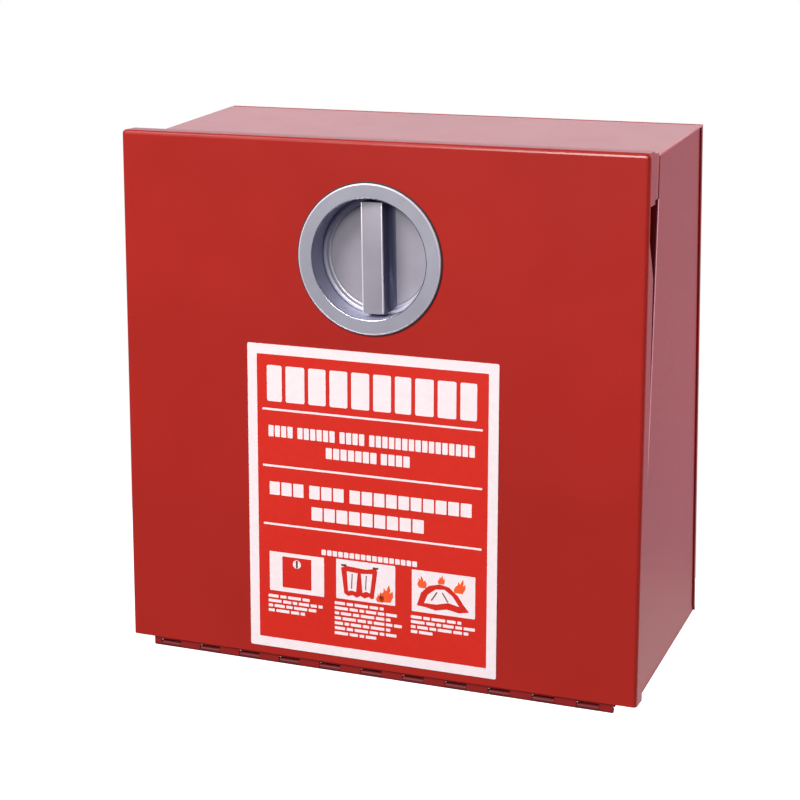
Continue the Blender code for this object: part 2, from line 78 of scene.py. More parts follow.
def noise_of(nodes, links, where, scale, detail=3.0, roughness=0.55, stretch=None):
    """A noise texture's value, optionally stretched along the axes."""
    texture = nodes.new("ShaderNodeTexNoise")
    texture.inputs["Scale"].default_value = scale
    texture.inputs["Detail"].default_value = detail
    texture.inputs["Roughness"].default_value = roughness
    if stretch:
        mapping = nodes.new("ShaderNodeMapping")
        mapping.inputs["Scale"].default_value = stretch
        links.new(where, mapping.inputs["Vector"])
        where = mapping.outputs["Vector"]
    links.new(where, texture.inputs["Vector"])
    return texture.outputs["Fac"]


def ramp(nodes, links, value, stops):
    """A colour ramp over value. stops is (position, colour) pairs."""
    made = nodes.new("ShaderNodeValToRGB")
    points = made.color_ramp.elements
    while len(points) < len(stops):
        points.new(0.5)
    for point, (position, colour) in zip(points, stops):
        point.position = position
        point.color = (*colour, 1.0)
    links.new(value, made.inputs["Fac"])
    return made.outputs["Color"]


def spread(nodes, links, value, low, high):
    """value, from 0 to 1, mapped to low to high."""
    made = nodes.new("ShaderNodeMapRange")
    made.inputs["To Min"].default_value = low
    made.inputs["To Max"].default_value = high
    links.new(value, made.inputs["Value"])
    return made.outputs["Result"]


def bump(nodes, links, shader, heights):
    """Chains bumps into the shader's normal. heights is (value, strength, distance)."""
    normal = None
    for value, strength, distance in heights:
        made = nodes.new("ShaderNodeBump")
        made.inputs["Strength"].default_value = strength
        made.inputs["Distance"].default_value = distance
        links.new(value, made.inputs["Height"])
        if normal:
            links.new(normal, made.inputs["Normal"])
        normal = made.outputs["Normal"]
    links.new(normal, shader.inputs["Normal"])


def scaled(colour, by):
    """A colour made lighter or darker."""
    return tuple(min(1.0, channel * by) for channel in colour)


def enamel(name, colour, rough=0.24, coat=0.1, specular=0.5):
    """Baked enamel: faint orange peel, soft tone changes and a slightly uneven gloss."""
    made, nodes, links, shader, where = new_material(name)
    slow = noise_of(nodes, links, where, 9.0, 2.0)
    peel = noise_of(nodes, links, where, 620.0, 2.0)
    tone = ramp(nodes, links, slow, [(0.3, scaled(colour, 0.93)), (0.7, scaled(colour, 1.05))])
    links.new(tone, shader.inputs["Base Color"])
    smudge = noise_of(nodes, links, where, 38.0, 4.0)
    links.new(spread(nodes, links, smudge, rough - 0.02, rough + 0.04), shader.inputs["Roughness"])
    shader.inputs["IOR"].default_value = 1.5
    shader.inputs["Coat Weight"].default_value = coat
    shader.inputs["Specular IOR Level"].default_value = specular
    shader.inputs["Coat Roughness"].default_value = 0.12
    bump(nodes, links, shader, [(peel, 0.02, 0.00008)])
    return made


def cast_grey(name, colour, metallic=0.55, rough=0.30):
    """Silver-grey lacquer on a casting: fine grain and a soft metallic sheen."""
    made, nodes, links, shader, where = new_material(name)
    grain = noise_of(nodes, links, where, 1400.0, 2.0)
    slow = noise_of(nodes, links, where, 45.0, 3.0)
    tone = ramp(nodes, links, slow, [(0.3, scaled(colour, 0.92)), (0.72, scaled(colour, 1.06))])
    links.new(tone, shader.inputs["Base Color"])
    shader.inputs["Metallic"].default_value = metallic
    links.new(spread(nodes, links, grain, rough, rough + 0.12), shader.inputs["Roughness"])
    bump(nodes, links, shader, [(grain, 0.06, 0.00008), (slow, 0.03, 0.0008)])
    return made


def plated_steel(name, colour=(0.60, 0.61, 0.63)):
    """Zinc-plated steel with drawn lines and a slightly cloudy plating."""
    made, nodes, links, shader, where = new_material(name)
    lines = noise_of(nodes, links, where, 60.0, 4.0, stretch=(2.0, 40.0, 40.0))
    cloud = noise_of(nodes, links, where, 130.0, 3.0)
    tone = ramp(nodes, links, cloud, [(0.3, scaled(colour, 0.85)), (0.7, scaled(colour, 1.08))])
    links.new(tone, shader.inputs["Base Color"])
    shader.inputs["Metallic"].default_value = 1.0
    links.new(spread(nodes, links, lines, 0.24, 0.44), shader.inputs["Roughness"])
    bump(nodes, links, shader, [(lines, 0.06, 0.0001)])
    return made


def black_rubber(name):
    """Matt black rubber with a fine grain."""
    made, nodes, links, shader, where = new_material(name)
    grain = noise_of(nodes, links, where, 900.0, 3.0)
    tone = ramp(nodes, links, grain, [(0.3, (0.012, 0.012, 0.013)), (0.75, (0.03, 0.03, 0.031))])
    links.new(tone, shader.inputs["Base Color"])
    links.new(spread(nodes, links, grain, 0.6, 0.8), shader.inputs["Roughness"])
    bump(nodes, links, shader, [(grain, 0.15, 0.0002)])
    return made


def vinyl(name, colour, rough=0.3):
    """Printed self-adhesive film: an even colour with the faint mottle of screen ink."""
    made, nodes, links, shader, where = new_material(name)
    mottle = noise_of(nodes, links, where, 240.0, 3.0)
    slow = noise_of(nodes, links, where, 14.0, 2.0)
    tone = ramp(nodes, links, mottle, [(0.3, scaled(colour, 0.96)), (0.7, scaled(colour, 1.03))])
    links.new(tone, shader.inputs["Base Color"])
    links.new(spread(nodes, links, slow, rough - 0.05, rough + 0.08), shader.inputs["Roughness"])
    bump(nodes, links, shader, [(slow, 0.05, 0.001), (mottle, 0.03, 0.00005)])
    return made


def combined(nodes, links, operation, first, second):
    """A Math node's value. second is another node's output or a number."""
    made = nodes.new("ShaderNodeMath")
    made.operation = operation
    links.new(first, made.inputs[0])
    if isinstance(second, float):
        made.inputs[1].default_value = second
    else:
        links.new(second, made.inputs[1])
    return made.outputs["Value"]


def woven(name, colour, pitch, rough=0.88, depth=0.0002, sheen=0.2):
    """A plain weave: warp and weft threads of this pitch, crossing along X, Y and Z."""
    made, nodes, links, shader, where = new_material(name)
    waves = []
    for direction in ("X", "Y", "Z"):
        wave = nodes.new("ShaderNodeTexWave")
        wave.bands_direction = direction
        wave.inputs["Scale"].default_value = math.tau / 20.0 / pitch * 2
        wave.inputs["Distortion"].default_value = 0.6
        wave.inputs["Detail"].default_value = 1.0
        links.new(where, wave.inputs["Vector"])
        waves.append(wave.outputs["Fac"])
    total = combined(nodes, links, "ADD", waves[0], waves[1])
    total = combined(nodes, links, "ADD", total, waves[2])
    weave = combined(nodes, links, "MULTIPLY", total, 1 / 3)
    slub = noise_of(nodes, links, where, 60.0, 4.0)
    uneven = spread(nodes, links, slub, 0.7, 1.15)
    threads = combined(nodes, links, "MULTIPLY", weave, uneven)
    tone = ramp(nodes, links, threads, [(0.12, scaled(colour, 0.72)), (0.6, colour)])
    links.new(tone, shader.inputs["Base Color"])
    shader.inputs["Sheen Weight"].default_value = sheen
    shader.inputs["Sheen Roughness"].default_value = 0.5
    links.new(spread(nodes, links, slub, rough - 0.08, rough + 0.06), shader.inputs["Roughness"])
    bump(nodes, links, shader, [(weave, 0.5, depth), (slub, 0.2, 0.0008)])
    return made


def floor_paint(name):
    """Pale matt paint, which glows so that it looks plain white itself."""
    made, nodes, links, shader, where = new_material(name)
    slow = noise_of(nodes, links, where, 3.0, 2.0)
    tone = ramp(nodes, links, slow, [(0.3, (0.53, 0.53, 0.54)), (0.7, (0.56, 0.56, 0.57))])
    links.new(tone, shader.inputs["Base Color"])
    shader.inputs["Roughness"].default_value = 0.9
    shader.inputs["Specular IOR Level"].default_value = 0.1
    shader.inputs["Emission Color"].default_value = (1, 1, 1, 1)
    rays = nodes.new("ShaderNodeLightPath").outputs["Is Camera Ray"]
    links.new(rays, shader.inputs["Emission Strength"])
    return made


RED = enamel("red_enamel", (0.335, 0.0155, 0.009))
# Lighter copies of the red enamel for the side's front edge and the top's right edge: painted
# highlights.
HIGHLIGHT_RED = enamel("red_enamel_painted_highlight", (0.60, 0.15, 0.16), 0.3)
HIGHLIGHT_PALE = enamel("red_enamel_pale_painted_highlight", (0.80, 0.30, 0.33), 0.3)
GREY = cast_grey("cast_metal", (0.44, 0.43, 0.48))
# Pale grey on the bezel's outer edge and the grip bar's two front edges: painted highlights.
PAINTED_HIGHLIGHT_GREY = cast_grey("cast_metal_painted_highlight", (0.84, 0.76, 0.82), 0.35, 0.28)
LIP_GREY = cast_grey("cast_metal_lip", (0.42, 0.41, 0.50), 0.9, 0.16)
BOWL_GREY = cast_grey("cast_metal_recess", (0.272, 0.250, 0.286), 0.15, 0.45)
# Glossier grey for the bowl's ledge, also much lighter than the bowl: painted highlight on the
# ledge.
LEDGE_GREY_WITH_HIGHLIGHT = cast_grey("cast_metal_ledge_painted_highlight", (0.50, 0.49, 0.56), 0.5, 0.28)
WALL_GREY = cast_grey("cast_metal_wall", (0.43, 0.43, 0.56), 0.3, 0.4)
# Near-black grey on the grip bar's flanks and their foot: painted shade.
FLANK_SHADE_GREY = cast_grey("cast_metal_flank_painted_shade", (0.10, 0.10, 0.16))
# Darker copies of the red enamel for the hinge: painted shade on the door's leaf, which hangs
# under the door, and deeper painted shade on the cabinet's leaf, whose knuckles fill the hinge's
# slots.
HINGE_SHADED_RED = enamel("red_enamel_hinge", (0.22, 0.011, 0.010), 0.6, 0.0, 0.15)
HINGE_SHADE = enamel("red_enamel_hinge_painted_shade", (0.12, 0.007, 0.008), 0.5, 0.0, 0.2)
STEEL = plated_steel("zinc_steel")
# Dark reddish steel for the hinge pin, behind the hinge's slots: painted shade.
PIN_SHADE_STEEL = plated_steel("hinge_pin_steel_painted_shade", (0.16, 0.07, 0.07))
RUBBER = black_rubber("black_rubber")
FILM_WHITE = vinyl("label_white", (0.78, 0.665, 0.66))
FILM_RED = vinyl("label_red", (0.55, 0.019, 0.009))
INK_DARK = vinyl("label_ink_dark", (0.10, 0.035, 0.04))
INK_FLAME = vinyl("label_ink_flame", (0.78, 0.09, 0.02))
CLOTH = woven("glass_cloth", (0.74, 0.71, 0.62), 1.1 * MM)
TAPE = woven("tape_webbing", (0.030, 0.030, 0.034), 1.3 * MM, 0.8, 0.0003, 0.35)
THREAD = woven("stitch_thread", (0.70, 0.66, 0.55), 0.5 * MM, 0.7, 0.0001, 0.2)


# ---------------------------------------------------------------- mesh helpers

def link(name, mesh, finish, place=None):
    """An object of this mesh in this finish, in the scene."""
    obj = bpy.data.objects.new(name, mesh)
    mesh.materials.append(finish)
    bpy.context.scene.collection.objects.link(obj)
    if place is not None:
        obj.matrix_world = place
    return obj


def finished(bm, name, angle=35):
    """The bmesh as a mesh, its faces pointing out, shaded smooth but for its sharp edges."""
    bmesh.ops.recalc_face_normals(bm, faces=bm.faces)
    mesh = bpy.data.meshes.new(name)
    bm.to_mesh(mesh)
    bm.free()
    mesh.shade_smooth()
    mesh.set_sharp_from_angle(angle=math.radians(angle))
    return mesh


def arc(centre, radius, start, end, steps):
    """Points on an arc in a plane, its angles in degrees."""
    points = []
    for step in range(steps + 1):
        angle = math.radians(start + (end - start) * step / steps)
        points.append((
            centre[0] + radius * math.cos(angle), centre[1] + radius * math.sin(angle)
        ))
    return points


def turned(name, profile, finish, place, steps=192, angle=24):
    """A solid of revolution about Y from a closed (radius, depth) profile."""
    bm = bmesh.new()
    rings = []
    for radius, depth in profile:
        if radius < 1e-7:
            rings.append([bm.verts.new((0, depth, 0))])
            continue
        rings.append([
            bm.verts.new((
                radius * math.cos(math.tau * i / steps), depth,
                radius * math.sin(math.tau * i / steps),
            ))
            for i in range(steps)
        ])
    for first, second in zip(rings, rings[1:] + rings[:1]):
        if len(first) == 1 and len(second) == 1:
            continue
        for i in range(steps):
            j = (i + 1) % steps
            corners = [first[i % len(first)], first[j % len(first)],
                       second[j % len(second)], second[i % len(second)]]
            unique = list(dict.fromkeys(corners))
            bm.faces.new(unique)
    return link(name, finished(bm, name, angle), finish, place)


def prism(bm, outline, start, end, along="Y"):
    """Adds a solid of this outline, from start to end along Y or Z.

    The outline's points are (x, z) for a solid along Y and (x, y) for one along Z.
    """
    rows = []
    for at in (start, end):
        if along == "Y":
            rows.append([bm.verts.new((x, at, z)) for x, z in outline])
        else:
            rows.append([bm.verts.new((x, y, at)) for x, y in outline])
    near, far = rows
    bm.faces.new(near)
    bm.faces.new(list(reversed(far)))
    for i in range(len(outline)):
        j = (i + 1) % len(outline)
        bm.faces.new((near[j], near[i], far[i], far[j]))


def rounded_block(name, low, high, radius, finish, place, segments=3):
    """A box with rounded edges."""
    low, high = Vector(low), Vector(high)
    size = high - low
    bm = bmesh.new()
    bmesh.ops.create_cube(
        bm, size=1,
        matrix=Matrix.Translation((low + high) / 2) @ Matrix.Diagonal((*size, 1)),
    )
    bmesh.ops.bevel(
        bm, geom=list(bm.edges), offset=radius, segments=segments, profile=0.5,
        affect="EDGES",
    )
    return link(name, finished(bm, name, 50), finish, place)


def local_box(node, place):
    """A CAD node's lowest and highest corners in the frame that place maps to the world."""
    back = place.inverted()
    points = [back @ vert.co for vert in NODES[node].data.vertices]
    low = Vector(min(p[i] for p in points) for i in range(3))
    high = Vector(max(p[i] for p in points) for i in range(3))
    return low, high


# ---------------------------------------------------------------- CAD nodes that stay

def keep(names, finish):
    """Gives CAD nodes, which stay as they are, this finish."""
    for name in names:
        node = NODES[name]
        if not node.material_slots:
            node.data.materials.append(finish)
        for slot in node.material_slots:
            slot.material = finish


keep(["top_panel", "bottom_panel", "side_panel_left", "side_panel_right", "back_panel",
      "door_panel"], RED)
# The pin in dark reddish steel, painted shade in the hinge's slots.
keep(["hinge_pin"], PIN_SHADE_STEEL)
# Both hinge leaves in the darker reds that paint their shade.
keep(["door_hinge_leaf"], HINGE_SHADED_RED)
keep(["cabinet_hinge_leaf"], HINGE_SHADE)
keep(["latch_ring_nut", "latch_friction_washer", "latch_cam",
      "latch_cam_washer", "latch_cam_screw"] + [f"hinge_rivet_{i}" for i in range(1, 7)], STEEL)
keep(["door_buffer_left", "door_buffer_right"], RUBBER)


# ---------------------------------------------------------------- sheet-metal edges

END_BAND = 5 * MM                # where the side's front edge is measured, at each end
CORNER_HEIGHT = 26 * MM          # the flange's deeper part, down from the door's top
CORNER_DEPTH = 6.2 * MM          # how much deeper it is than the rest of the flange


def make_side_bead():
    """A bead on the right side's front edge, which leans back, in pale enamel that paints the
    edge's highlight.
    """
    low, high = (Vector(corner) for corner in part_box("side_panel_right"))
    points = [vert.co for vert in NODES["side_panel_right"].data.vertices]
    foot = min(p.y for p in points if p.z < low.z + END_BAND)
    head = min(p.y for p in points if p.z > high.z - END_BAND)
    tall = high.z - low.z
    leaning = Matrix.Rotation(-math.atan2(head - foot, tall), 4, "X")
    return rounded_block(
        "side_edge_right", (high.x - 0.6 * MM, -0.1 * MM, 1 * MM),
        (high.x + 0.3 * MM, 1.9 * MM, tall - 2 * MM), 0.3 * MM, HIGHLIGHT_PALE,
        Matrix.Translation((0, foot, low.z)) @ leaning,
    )


def make_top_bead():
    """A bead on the top panel's right edge, in lighter enamel that paints the edge's highlight."""
    low, high = (Vector(corner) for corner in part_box("top_panel"))
    return rounded_block(
        "top_edge_right", (high.x - 1.1 * MM, low.y, high.z - 1.0 * MM),
        (high.x + 0.2 * MM, high.y, high.z + 0.15 * MM), 0.4 * MM, HIGHLIGHT_RED, Matrix(),
    )


def make_rear_bead():
    """A bead over the seam between the right side and the back panel."""
    bottom, top = (corner[2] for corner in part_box("side_panel_right"))
    far = Vector(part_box("back_panel")[1])
    return rounded_block(
        "rear_edge_right", (far.x - 1.9 * MM, far.y - 3.2 * MM, bottom + 1 * MM),
        (far.x + 0.1 * MM, far.y - 0.1 * MM, top - 1 * MM), 0.75 * MM, RED, Matrix(), 5,
    )


def make_edges():
    """Rounded enamel beads on the cabinet's sharp edges, two in lighter enamel as painted
    highlights, and the door flange's deep corner.
    """
    for piece in (make_side_bead(), make_top_bead(), make_rear_bead()):
        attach(piece, "cabinet")
    high = local_box("door_panel", DOOR)[1]
    corner = rounded_block(
        "door_flange_corner", (high.x - 1.15 * MM, high.y - 2 * MM, high.z - CORNER_HEIGHT),
        (high.x - 0.02 * MM, high.y + CORNER_DEPTH, high.z - 1.5 * MM), 0.3 * MM, RED, DOOR,
    )
    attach(corner, "door")


# ---------------------------------------------------------------- latch

# Depths are behind the door's front surface, so those in front of it are negative.
BEZEL_SET_BACK = 1.5 * MM        # the bezel's face, behind the CAD's
BEZEL_WIDTH = 8.6 * MM
BEZEL_SEAT = -0.7 * MM
BEZEL_EDGE = 0.8 * MM            # width and height of the bright edge
LIP = 0.6 * MM                   # radius of the bezel's inner lip
SLEEVE_THICK = 1.6 * MM
SPINDLE_BORE = 7.3 * MM          # radius
GASKET_FRONT = -0.75 * MM
GASKET_BACK = -0.2 * MM
BOWL_FLOOR = 15.6 * MM
BOWL_STEP = 13.2 * MM            # the ledge round the bowl's floor
BOWL_FLAT = 30.3 * MM            # radius of the floor inside the ledge
BOWL_BACK = 21.6 * MM
HUB_RADIUS = 7 * MM
HUB_BACK = 26.5 * MM
SPINDLE_HALF = 4 * MM
BAR_SET_BACK = 1.3 * MM          # the grip bar's front, behind the CAD's
BAR_HALF_WIDTH = 6.3 * MM
BAR_HALF_LENGTH = 31.5 * MM
BAR_FOOT = 3.6 * MM              # radius of the foot that spreads into the bowl's floor
BAR_CAP = 1.5 * MM               # thickness of the lighter front
BAR_LEAN = 1.0                   # degrees from upright


def make_housing():
    """The fixed part: a flat bezel with a rolled lip and an edge in pale grey that paints its
    highlight, and a dark sleeve.
    """
    low, high = local_box("latch_housing", LATCH)
    outer, back = high.x, high.y
    face = low.y + BEZEL_SET_BACK
    cup = outer - BEZEL_WIDTH
    ring = [
        (cup + 0.5 * MM, face), (outer - BEZEL_EDGE, face), (outer - BEZEL_EDGE, BEZEL_SEAT),
        (cup + 0.5 * MM, BEZEL_SEAT),
    ]
    lip = arc((cup + LIP, face + LIP - 0.02 * MM), LIP, 180, 270, 6) + [
        (cup + 0.8 * MM, face + 0.1 * MM), (cup + 0.8 * MM, BEZEL_SEAT), (cup, BEZEL_SEAT),
    ]
    edge = [
        (outer - BEZEL_EDGE - 0.1 * MM, face + 0.02 * MM),
        (outer - BEZEL_EDGE, face - 0.02 * MM), (outer - 0.1 * MM, face + 0.5 * MM),
        (outer, face + BEZEL_EDGE), (outer, BEZEL_SEAT),
        (outer - BEZEL_EDGE - 0.1 * MM, BEZEL_SEAT),
    ]
    sleeve = [
        (cup, BEZEL_SEAT - 0.1 * MM), (cup + SLEEVE_THICK, BEZEL_SEAT - 0.1 * MM),
        (cup + SLEEVE_THICK, back), (SPINDLE_BORE, back),
        (SPINDLE_BORE, back - SLEEVE_THICK), (cup, back - SLEEVE_THICK),
    ]
    for name, profile, finish in (
        ("latch_bezel", ring, GREY), ("latch_bezel_edge", edge, PAINTED_HIGHLIGHT_GREY),
        ("latch_bezel_lip", lip, LIP_GREY), ("latch_sleeve", sleeve, WALL_GREY),
    ):
        piece = turned(name, profile, finish, LATCH)
        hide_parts("latch_housing")
        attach(piece, "door")


def make_gasket():
    """The rubber ring, which shows as a dark outline round the bezel."""
    outer = local_box("latch_housing", LATCH)[1].x
    inner = outer - BEZEL_WIDTH + 1.9 * MM
    profile = [
        (inner, GASKET_FRONT), (outer + 0.5 * MM, GASKET_FRONT), (outer + 0.8 * MM, -0.5 * MM),
        (outer + 0.8 * MM, GASKET_BACK), (inner, GASKET_BACK),
    ]
    gasket = turned("latch_seal", profile, RUBBER, LATCH, 128, 30)
    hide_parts("latch_gasket")
    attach(gasket, "door")


def make_rotor():
    """The part that turns: a bowl with a shiny ledge in lighter grey that paints its highlight, a
    square spindle and the grip bar.
    """
    low, high = local_box("latch_rotor", LATCH)
    rim = high.x
    bowl = turned("latch_bowl", [
        (0, BOWL_FLOOR), (BOWL_FLAT - 0.9 * MM, BOWL_FLOOR),
        (BOWL_FLAT - 0.6 * MM, BOWL_FLOOR + 0.3 * MM),
        (BOWL_FLAT + 0.1 * MM, BOWL_FLOOR + 0.3 * MM), (rim - 0.2 * MM, BOWL_FLOOR + 2 * MM),
        (rim - 0.2 * MM, BOWL_BACK), (HUB_RADIUS, BOWL_BACK), (HUB_RADIUS, HUB_BACK),
        (0, HUB_BACK),
    ], BOWL_GREY, LATCH)
    ledge = turned("latch_bowl_ledge", (
        [(BOWL_FLAT - 0.1 * MM, BOWL_FLOOR + 0.6 * MM), (BOWL_FLAT - 0.1 * MM, BOWL_FLOOR)]
        + arc((BOWL_FLAT + 0.1 * MM, BOWL_FLOOR - 1.1 * MM), 1.1 * MM, 90, 25, 5)
        + arc((BOWL_FLAT + 2.1 * MM, BOWL_STEP + 0.9 * MM), 0.9 * MM, 205, 270, 5)
        + [(rim - 0.15 * MM, BOWL_STEP), (rim, BOWL_STEP + 0.15 * MM), (rim, 21 * MM)]
        + [(rim - 1 * MM, 21 * MM)]
    ), LEDGE_GREY_WITH_HIGHLIGHT, LATCH)
    spindle = rounded_block(
        "latch_spindle", (-SPINDLE_HALF, 25 * MM, -SPINDLE_HALF),
        (SPINDLE_HALF, high.y, SPINDLE_HALF), 0.4 * MM, GREY, LATCH,
    )
    for piece in [bowl, ledge, spindle] + make_grip_bar(low.y + BAR_SET_BACK):
        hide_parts("latch_rotor")
        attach(piece, "latch")


def make_grip_bar(front):
    """The grip bar: flanks with a foot in dark grey that paints their shade, a lighter cap in
    front, and two edges in pale grey that paints their highlights.
    """
    place = LATCH @ Matrix.Rotation(math.radians(-BAR_LEAN), 4, "Y")
    cap_back = front + BAR_CAP
    foot_edge = BAR_HALF_WIDTH + BAR_FOOT
    side = [(BAR_HALF_WIDTH, cap_back - 0.1 * MM)]
    side += arc((foot_edge, BOWL_FLOOR - BAR_FOOT), BAR_FOOT, 180, 90, 6)
    side += [(foot_edge, BOWL_FLOOR + 0.6 * MM)]
    outline = side + [(-x, y) for x, y in reversed(side)]
    bm = bmesh.new()
    prism(bm, outline, -BAR_HALF_LENGTH, BAR_HALF_LENGTH, along="Z")
    flanks = link("latch_grip_bar", finished(bm, "latch_grip_bar", 28), FLANK_SHADE_GREY, place)
    cap = rounded_block(
        "latch_grip_cap", (0.7 * MM - BAR_HALF_WIDTH, front, -BAR_HALF_LENGTH),
        (BAR_HALF_WIDTH - 0.7 * MM, cap_back + 0.6 * MM, BAR_HALF_LENGTH), 0.3 * MM,
        BOWL_GREY, place,
    )
    edges = []
    for name, hand in (("left", -1), ("right", 1)):
        x = hand * (BAR_HALF_WIDTH - 0.4 * MM)
        edges.append(rounded_block(
            f"latch_grip_edge_{name}",
            (x - 0.45 * MM, front + 0.02 * MM, 0.2 * MM - BAR_HALF_LENGTH),
            (x + 0.45 * MM, front + 1.7 * MM, BAR_HALF_LENGTH - 0.2 * MM), 0.35 * MM, PAINTED_HIGHLIGHT_GREY,
            place, 2,
        ))
    return [flanks, cap] + edges


# ---------------------------------------------------------------- label

LABEL_WIDTH = 150                # in label units, about a millimetre each
LABEL_HEIGHT = 180
INK_STEP = 0.03 * MM             # each layer of ink in front of the one before
INK_THICK = 0.05 * MM


def rounded_outline(u0, v0, u1, v1, radius, steps=3):
    """A rectangle's outline with rounded corners."""
    radius = min(radius, (u1 - u0) / 2.01, (v1 - v0) / 2.01)
    points = []
    for (cu, cv), start in (
        ((u1 - radius, v1 - radius), 0), ((u0 + radius, v1 - radius), 90),
        ((u0 + radius, v0 + radius), 180), ((u1 - radius, v0 + radius), 270),
    ):
        points += arc((cu, cv), radius, start, start + 90, steps)
    return points


class Print:
    """One ink's layer on the label, drawn in label units: u to the right and v down."""

    def __init__(self, name, finish, layer):
        self.name = name
        self.finish = finish
        self.low, self.high = local_box("label", DOOR)
        self.scale_u = (self.high.x - self.low.x) / LABEL_WIDTH
        self.scale_v = (self.high.z - self.low.z) / LABEL_HEIGHT
        self.front = self.low.y - INK_STEP * layer
        self.bm = bmesh.new()

    def shape(self, outline):
        """A patch of ink with this outline."""
        points = [
            (self.low.x + u * self.scale_u, self.high.z - v * self.scale_v) for u, v in outline
        ]
        prism(self.bm, points, self.front, self.front + INK_THICK)

    def bar(self, u0, v0, u1, v1, radius=0.35):
        """A rectangle of ink with rounded corners."""
        self.shape(rounded_outline(u0, v0, u1, v1, radius))

    def words(self, u0, v0, u1, v1, lengths, gap, space):
        """A line of blocks standing for its letters, in words of these lengths."""
        letters = sum(lengths)
        spaces = len(lengths) - 1
        width = (u1 - u0 - spaces * space - (letters - 1 - spaces) * gap) / letters
        u = u0
        for length in lengths:
            for _ in range(length):
                self.bar(u, v0, u + width, v1, 0.4)
                u += width + gap
            u += space - gap

    def finish_up(self):
        """Makes the layer a piece of the object, in place of the CAD's label."""
        piece = link(self.name, finished(self.bm, self.name, 30), self.finish, DOOR)
        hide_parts("label")
        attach(piece, "door")


def flame(u, v, height, lean=0.0):
    """A flame's outline: its foot centred at (u, v), with two tongues."""
    shape = [
        (-0.30, 0.00), (-0.40, 0.22), (-0.30, 0.45), (-0.18, 0.58), (-0.20, 0.80),
        (-0.02, 0.62), (0.02, 0.80), (0.10, 1.00), (0.20, 0.72), (0.18, 0.52),
        (0.34, 0.66), (0.40, 0.36), (0.28, 0.00),
    ]
    return [(u + (x + lean * y) * height, v - y * height) for x, y in shape]


def make_label():
    """The label: white film, a red field, greeked lines of print and three pictograms."""
    base = Print("label_sheet", FILM_WHITE, 0)
    scale = base.scale_u
    tall = (base.high.z - base.low.z) / scale
    outline = [
        (base.low.x + u * scale, base.low.z + v * scale)
        for u, v in rounded_outline(0, 0, LABEL_WIDTH, tall, 0.9, 5)
    ]
    prism(base.bm, outline, base.low.y, base.high.y)
    base.finish_up()

    red = Print("label_red_field", FILM_RED, 1)
    red.bar(5.8, 5.8, 144.2, 174.2, 0.4)
    red.finish_up()

    white = Print("label_white_print", FILM_WHITE, 2)
    u = 12.0
    for width in (9.2, 11.6, 10.6, 10.8, 10.8, 10.6, 9.6, 10.8, 10.8, 9.6):
        white.bar(u, 12, u + width, 33, 1.0)
        u += width + 2.35
    for v in (37.7, 70.9, 105.5):
        white.bar(9, v - 0.6, 141, v + 0.6, 0.3)
    white.words(12.7, 47, 136.5, 53.6, [4, 6, 4, 16], 0.8, 3.0)
    white.words(48, 57, 98.5, 63.4, [7, 4], 0.8, 2.6)
    white.words(13, 80.2, 135, 88, [3, 3, 10], 1.0, 3.6)
    white.words(39, 92.7, 107, 100.5, [9], 1.0, 3.0)
    white.words(45, 117.2, 103, 120.4, [17], 0.7, 1.5)
    white.bar(12.5, 122, 46.5, 145.5, 0.5)
    white.bar(54, 121.5, 90, 145, 0.5)
    white.bar(100, 122, 137.5, 146.5, 0.5)
    small_print(white, 11.5, 148, [26, 34, 30, 24], 2.9)
    small_print(white, 53, 147, [30, 38, 36, 41, 34, 40, 28], 3.0)
    small_print(white, 99.5, 149, [30, 38, 36, 13], 2.9)
    white.finish_up()

    make_pictograms()


def small_print(ink, u, v, lengths, pitch):
    """Lines of the smallest print, each broken into a few words."""
    for row, length in enumerate(lengths):
        start = u
        word = 0
        while start < u + length - 1.5:
            size = min((6.4, 3.9, 8.2, 5.1, 2.8)[(word + 2 * row) % 5], u + length - start)
            top = v + row * pitch
            ink.bar(start, top, start + size, top + 1.75, 0.3)
            start += size + 1.0
            word += 1


